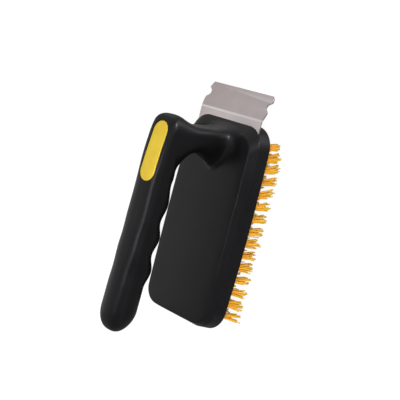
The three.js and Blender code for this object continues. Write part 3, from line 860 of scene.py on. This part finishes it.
def blade_plan():
    """One side of the flat blank, with its notch: half width and distance along the blank."""
    flare = BLADE_HALF_BEND + BLADE_FLARE
    floor = flare - NOTCH_DEPTH

    def at(t):
        return BLADE_BEND_Y + t * BLADE_BENT_LENGTH

    side = [(BLADE_HALF_REAR, BLADE_REAR_Y), (BLADE_HALF_REAR, BLADE_BEND_Y - 8), (BLADE_HALF_BEND, at(0))]
    side.append((BLADE_HALF_BEND + 0.2, at(0.08)))
    side += bezier([side[-1], (flare - 0.1, at(0.2)), (flare, at(0.31))], 8)
    side += bezier([side[-1], (flare, at(0.44)), (floor, at(0.4)), (floor, at(0.56))], 16)
    side += bezier([side[-1], (floor, at(0.72)), (flare + 0.2, at(0.69)), (flare + 0.3, at(0.79))], 16)
    side.append((BLADE_HALF_TIP + 0.2, at(0.94)))
    side += bezier([side[-1], (BLADE_HALF_TIP, at(1)), (BLADE_HALF_TIP - 1, at(1))], 8)
    return side


def bent(x, s, depth):
    """A point of the blank at distance s along it and depth under its upper face, after bending."""
    run = s - BEND_START_Y
    if run <= 0:
        return x, s, BLADE_TOP - depth
    inner = BEND_R - depth
    angle = min(run / BEND_R, BLADE_ANGLE)
    past = max(run - BEND_R * BLADE_ANGLE, 0)
    y = BEND_START_Y + inner * math.sin(angle) + past * math.cos(angle)
    z = BLADE_TOP - BEND_R + inner * math.cos(angle) - past * math.sin(angle)
    return x, y, z


def thickness(s):
    return BLADE_THICKNESS - EDGE_THINNING * max(0.0, (s - (BLADE_END - EDGE_LENGTH)) / EDGE_LENGTH)


def blade_blank():
    """The flat blank cut into strips where it bends: its points, faces and border edges."""
    right = blade_plan()
    plan = right + [(-x, s) for x, s in reversed(right)]
    bm = bmesh.new()
    bm.faces.new([bm.verts.new((x + BLADE_SHIFT_X, s, 0)) for x, s in plan])
    cuts = [BEND_START_Y + BEND_R * BLADE_ANGLE * i / BEND_STEPS for i in range(BEND_STEPS + 1)]
    for s in (*cuts, BLADE_BEND_Y - 6, BLADE_END - EDGE_LENGTH):
        everything = bm.verts[:] + bm.edges[:] + bm.faces[:]
        bmesh.ops.bisect_plane(bm, geom=everything, plane_co=(0, s, 0), plane_no=(0, 1, 0))
    bm.verts.ensure_lookup_table()
    flat = [(v.co.x, v.co.y) for v in bm.verts]
    faces = [[v.index for v in f.verts] for f in bm.faces]
    border = [[v.index for v in e.verts] for e in bm.edges if e.is_boundary]
    bm.free()
    return flat, faces, border


def blade_object():
    """The bent plate with its two screw holes and finely bevelled edges."""
    flat, faces, border = blade_blank()
    top = [bent(x, s, 0.0) for x, s in flat]
    bottom = [bent(x, s, thickness(s)) for x, s in flat]
    count = len(flat)
    made = faces + [tuple(reversed(face)) for face in moved(faces, count)]
    made += [[a, b, b + count, a + count] for a, b in border]
    obj = outward(mesh_object("scraper_plate", np.array(top + bottom), made))
    cut(obj, joined_cutters("blade_holes", [shank_hole(x, SCREW_Y) for x in (SCREW_X, -SCREW_X)]))
    bevel = obj.modifiers.new("bevel", "BEVEL")
    bevel.width = BEVEL_WIDTH * MM
    bevel.segments = 3
    bevel.limit_method = "ANGLE"
    bevel.angle_limit = BEVEL_ANGLE
    return sharpen(baked(obj), degrees=32)


# ---- bristles ------------------------------------------------------------------------
BRISTLE_LENGTH = 19.5
FILAMENTS, FILAMENT_R = 25, 0.46
TUFT_ROOT_R, TUFT_SPREAD = 1.9, 3.3
CLUMPS = 4  # the bristles of a tuft stick together in this many clumps
SIDES, SEGMENTS = 6, 5
TOP_IN_HOLE = 4.5
TIP_LENGTH, TIP_SHARE = 0.2, 0.55  # each bristle ends in a short blunt cone
GOLDEN_ANGLE = 2.39996
LEAN_OUT, LEAN_ALONG, LEAN_FORWARD = 0.02, 0.06, 1.9  # worn-in lean by X, by Y and of all tufts
ROW_WEAR = {0: 0.68, 1: 0.9}  # length left in the rows behind the scraper
FRAYED_SHARE, FRAY = 0.2, (0.08, 0.35)  # some bristles have lost a part of their length
FIRST_SEED = 4100


def scatter(rng, spread):
    return np.array([rng.gauss(0, spread), rng.gauss(0, spread)])


def filament(rng, root, clump, reach, frayed):
    """Centre line of one bristle from inside its hole to its tip."""
    length = reach * (1 - abs(rng.gauss(0, 0.06)) - (rng.uniform(*FRAY) if frayed else 0))
    out = np.array(root) * 0.35 + np.array(clump) + scatter(rng, 0.35)
    bow = scatter(rng, 0.45)
    line = []
    for i in range(SEGMENTS + 1):
        t = i / SEGMENTS
        z = TOP_IN_HOLE - t * (TOP_IN_HOLE + length)
        free = max(0.0, -z / BRISTLE_LENGTH)
        away = out * free**1.25 + bow * math.sin(math.pi * free) * 0.55
        line.append((root[0] + away[0], root[1] + away[1], z))
    return np.array(line)


def bristle_rings(line, radius):
    """Rings of a thin blunt-tipped tube along a nearly vertical line."""
    angles = full_turn(SIDES)
    rings = [circle(*point, radius, angles) for point in line]
    x, y, z = line[-1]
    return [*rings, circle(x, y, z - TIP_LENGTH, radius * TIP_SHARE, angles)]


def tuft_clumps(rng, turn):
    """Where each clump of a tuft leans to, with its direction."""
    clumps = []
    for k in range(CLUMPS):
        a = turn + k / CLUMPS * 2 * math.pi + rng.gauss(0, 0.25)
        reach = rng.uniform(0.4, 1.0) * (TUFT_SPREAD - TUFT_ROOT_R)
        clumps.append((math.cos(a) * reach, math.sin(a) * reach, a))
    return clumps


def turned_away(a, b):
    """The angle between two directions."""
    return abs((a - b + math.pi) % (2 * math.pi) - math.pi)


def tuft_stacks(rng, x, y, wear):
    """The bristles of one tuft, spiralling out from its middle, each drawn to its nearest clump."""
    forward = (LEAN_ALONG * y + LEAN_FORWARD) * wear**3
    lean = (LEAN_OUT * x + rng.gauss(0, 0.4), forward + rng.gauss(0, 0.45))
    turn = rng.uniform(0, 2 * math.pi)
    clumps = tuft_clumps(rng, turn)
    stacks = []
    for k in range(FILAMENTS):
        r = TUFT_ROOT_R * math.sqrt((k + 0.5) / FILAMENTS)
        a = turn + k * GOLDEN_ANGLE + rng.gauss(0, 0.1)
        pull = min(clumps, key=lambda clump: turned_away(a, clump[2]))
        toward = (pull[0] + lean[0], pull[1] + lean[1])
        root = (r * math.cos(a), r * math.sin(a))
        reach = (BRISTLE_LENGTH - TIP_LENGTH) * wear
        line = filament(rng, root, toward, reach, rng.random() < FRAYED_SHARE) + np.array([x, y, 0])
        stacks.append(bristle_rings(line, FILAMENT_R * rng.uniform(0.85, 1.1)))
    return stacks


def row_object(row):
    rng = random.Random(FIRST_SEED + row)
    stacks = []
    for column in range(COLUMNS):
        stacks += tuft_stacks(rng, tuft_x(column), row_y(row), ROW_WEAR.get(row, 1.0))
    return outward(mesh_object(f"bristle_row_{row + 1:02d}", *joined_stacks(stacks)))


# ---- the pieces ------------------------------------------------------------------------
housing = housing_object()
cut(housing, pad_pocket())
sharpen(housing, degrees=50)
finish_piece(housing, housing_plastic, "housing", "housing")
finish_piece(pad_object(), pad_material, "pad", "thumb_pad")
finish_piece(base_object(), base_plastic, "base", "base_block")
finish_piece(blade_object(), blade_material, "blade", "scraper_blade")
for side, (x, y) in zip(("front_right", "front_left", "rear_right", "rear_left"), SCREW_PLACES):
    finish_piece(screw_object(f"socket_screw_{side}", x, y), screw_material, "screw", f"screw_{side}")
for row in range(ROWS):
    finish_piece(row_object(row), bristle_material, "bristle", f"tuft_row_{row + 1:02d}")

# ---- stage --------------------------------------------------------------------------------
# Lights, floor and their sizes are in metres; the panels' places are in the block frame.
centre = (Vector(cad_low) + Vector(cad_high)) / 2
FLOOR_HALF = 6.0


def stage_floor():
    """A pale floor that glows evenly and leaves the brush unlit."""
    mesh = bpy.data.meshes.new("floor")
    corners = [(x * FLOOR_HALF, y * FLOOR_HALF, 0) for x, y in ((-1, -1), (1, -1), (1, 1), (-1, 1))]
    mesh.from_pydata(corners, [], [(0, 1, 2, 3)])
    obj = bpy.data.objects.new("floor", mesh)
    bpy.context.scene.collection.objects.link(obj)
    made, _, shader = material("pale_floor", Roughness=0.9, Specular_IOR_Level=0.1)
    shader.inputs["Base Color"].default_value = (0.2, 0.2, 0.2, 1)
    shader.inputs["Emission Color"].default_value = (1, 1, 1, 1)
    shader.inputs["Emission Strength"].default_value = 0.9
    mesh.materials.append(made)
    obj.visible_glossy = False
    obj.visible_diffuse = False


def softbox(name, at, size, power):
    """A rectangular light that faces the middle of the brush."""
    light = bpy.data.lights.new(name, "AREA")
    light.shape = "RECTANGLE"
    light.size, light.size_y = size
    light.energy = power
    obj = bpy.data.objects.new(name, light)
    bpy.context.scene.collection.objects.link(obj)
    obj.location = at
    obj.rotation_mode = "QUATERNION"
    obj.rotation_quaternion = (centre - Vector(at)).to_track_quat("-Z", "Y")
    return obj


stage_floor()
FILL_DISTANCE = 1.25
fill_at = centre + Vector((0.85, -0.15, 0.5)).normalized() * FILL_DISTANCE
fill = softbox("fill", fill_at, (1.1, 1.1), 16.5)
fill.visible_glossy = False  # it lifts the matt colours and leaves the reflections alone
# panels that only show as reflections: on the grip's edge, its shoulder, the cover's far side, the blade
for name, at, size, power in (
    ("edge_panel", (-50, -14, 470), (0.09, 0.07), 0.26),
    ("shoulder_panel", (335, 280, 1), (0.08, 0.08), 1.25),
    ("far_panel", (-215, -60, 135), (0.18, 0.14), 0.045),
    ("blade_panel", (-180, 55, 180), (0.06, 0.20), 0.016),
):
    softbox(name, metres(at), size, power).visible_diffuse = False


def studio_shade(tree):
    """Soft daylight from all round, dim on the near side, with patches of other brightness."""
    direction = add(tree, "ShaderNodeTexCoord")

    def toward(way):
        node = add(tree, "ShaderNodeVectorMath", {1: way}, operation="DOT_PRODUCT")
        tree.links.new(direction.outputs["Generated"], node.inputs[0])
        return node.outputs["Value"]

    across = rescale(tree, toward((-0.9, 0.05, 0.43)), 0.0, 1.0, (-1.0, 1.0))
    shade = ramp(tree, across, [
        (0.0, (0.23, 0.23, 0.235)), (0.14, (0.36, 0.36, 0.365)),
        (0.62, (0.30, 0.30, 0.30)), (0.85, (0.37, 0.37, 0.37)),
    ])
    # each patch: its direction, the cosines of the angles from it where the patch begins and is whole,
    # and its brightness
    for way, reach, level in (
        ((0.55, -0.10, 0.83), (0.86, 0.96), 0.12),  # above the near side
        ((-0.30, 0.93, 0.20), (0.70, 0.88), 0.9),  # in front, for the scraper
        ((-0.70, 0.38, 0.60), (0.88, 0.97), 0.58),  # above the far side
        ((0.45, 0.66, -0.60), (0.93, 0.985), 2.2),  # low in front, for the neck's edge
        ((0.55, 0.32, 0.77), (0.90, 0.98), 1.5),  # high in front, for the neck's fillet
    ):
        share = rescale(tree, toward(way), 0.0, 1.0, reach)
        shade = mix(tree, share, shade, (level, level, level, 1))
    return shade


world = bpy.data.worlds.new("studio")
bpy.context.scene.world = world
world.use_nodes = True
background = world.node_tree.nodes["Background"]
world.node_tree.links.new(studio_shade(world.node_tree), background.inputs["Color"])

# ---- camera --------------------------------------------------------------------------------
CAMERA_TARGET, CAMERA_DISTANCE = (0, 13.325, 18.535), 747.914
CAMERA_AZIMUTH, CAMERA_ELEVATION, CAMERA_ROLL = 8.498, 42.995, -80.95  # degrees; azimuth from +X to +Y
CAMERA_LENS = 91.96


def turned_camera():
    """Directions of the camera's right, up and back, as a rotation matrix."""
    azimuth, elevation = math.radians(CAMERA_AZIMUTH), math.radians(CAMERA_ELEVATION)
    level = math.cos(elevation)
    back = Vector((level * math.cos(azimuth), level * math.sin(azimuth), math.sin(elevation)))
    right = Vector((-math.sin(azimuth), math.cos(azimuth), 0))
    unrolled = Matrix((right, back.cross(right), back)).transposed()
    return unrolled @ Matrix.Rotation(math.radians(CAMERA_ROLL), 3, "Z")


camera = bpy.data.objects.new("camera", bpy.data.cameras.new("camera"))
bpy.context.scene.collection.objects.link(camera)
camera.data.sensor_width = 36
camera.data.lens = CAMERA_LENS
camera.data.clip_start, camera.data.clip_end = 0.01, 20
camera.matrix_world = turned_camera().to_4x4()
camera.location = metres(np.array(CAMERA_TARGET) + CAMERA_DISTANCE * np.array(turned_camera().col[2]))
bpy.context.scene.camera = camera
bpy.context.scene.view_settings.view_transform = "Standard"
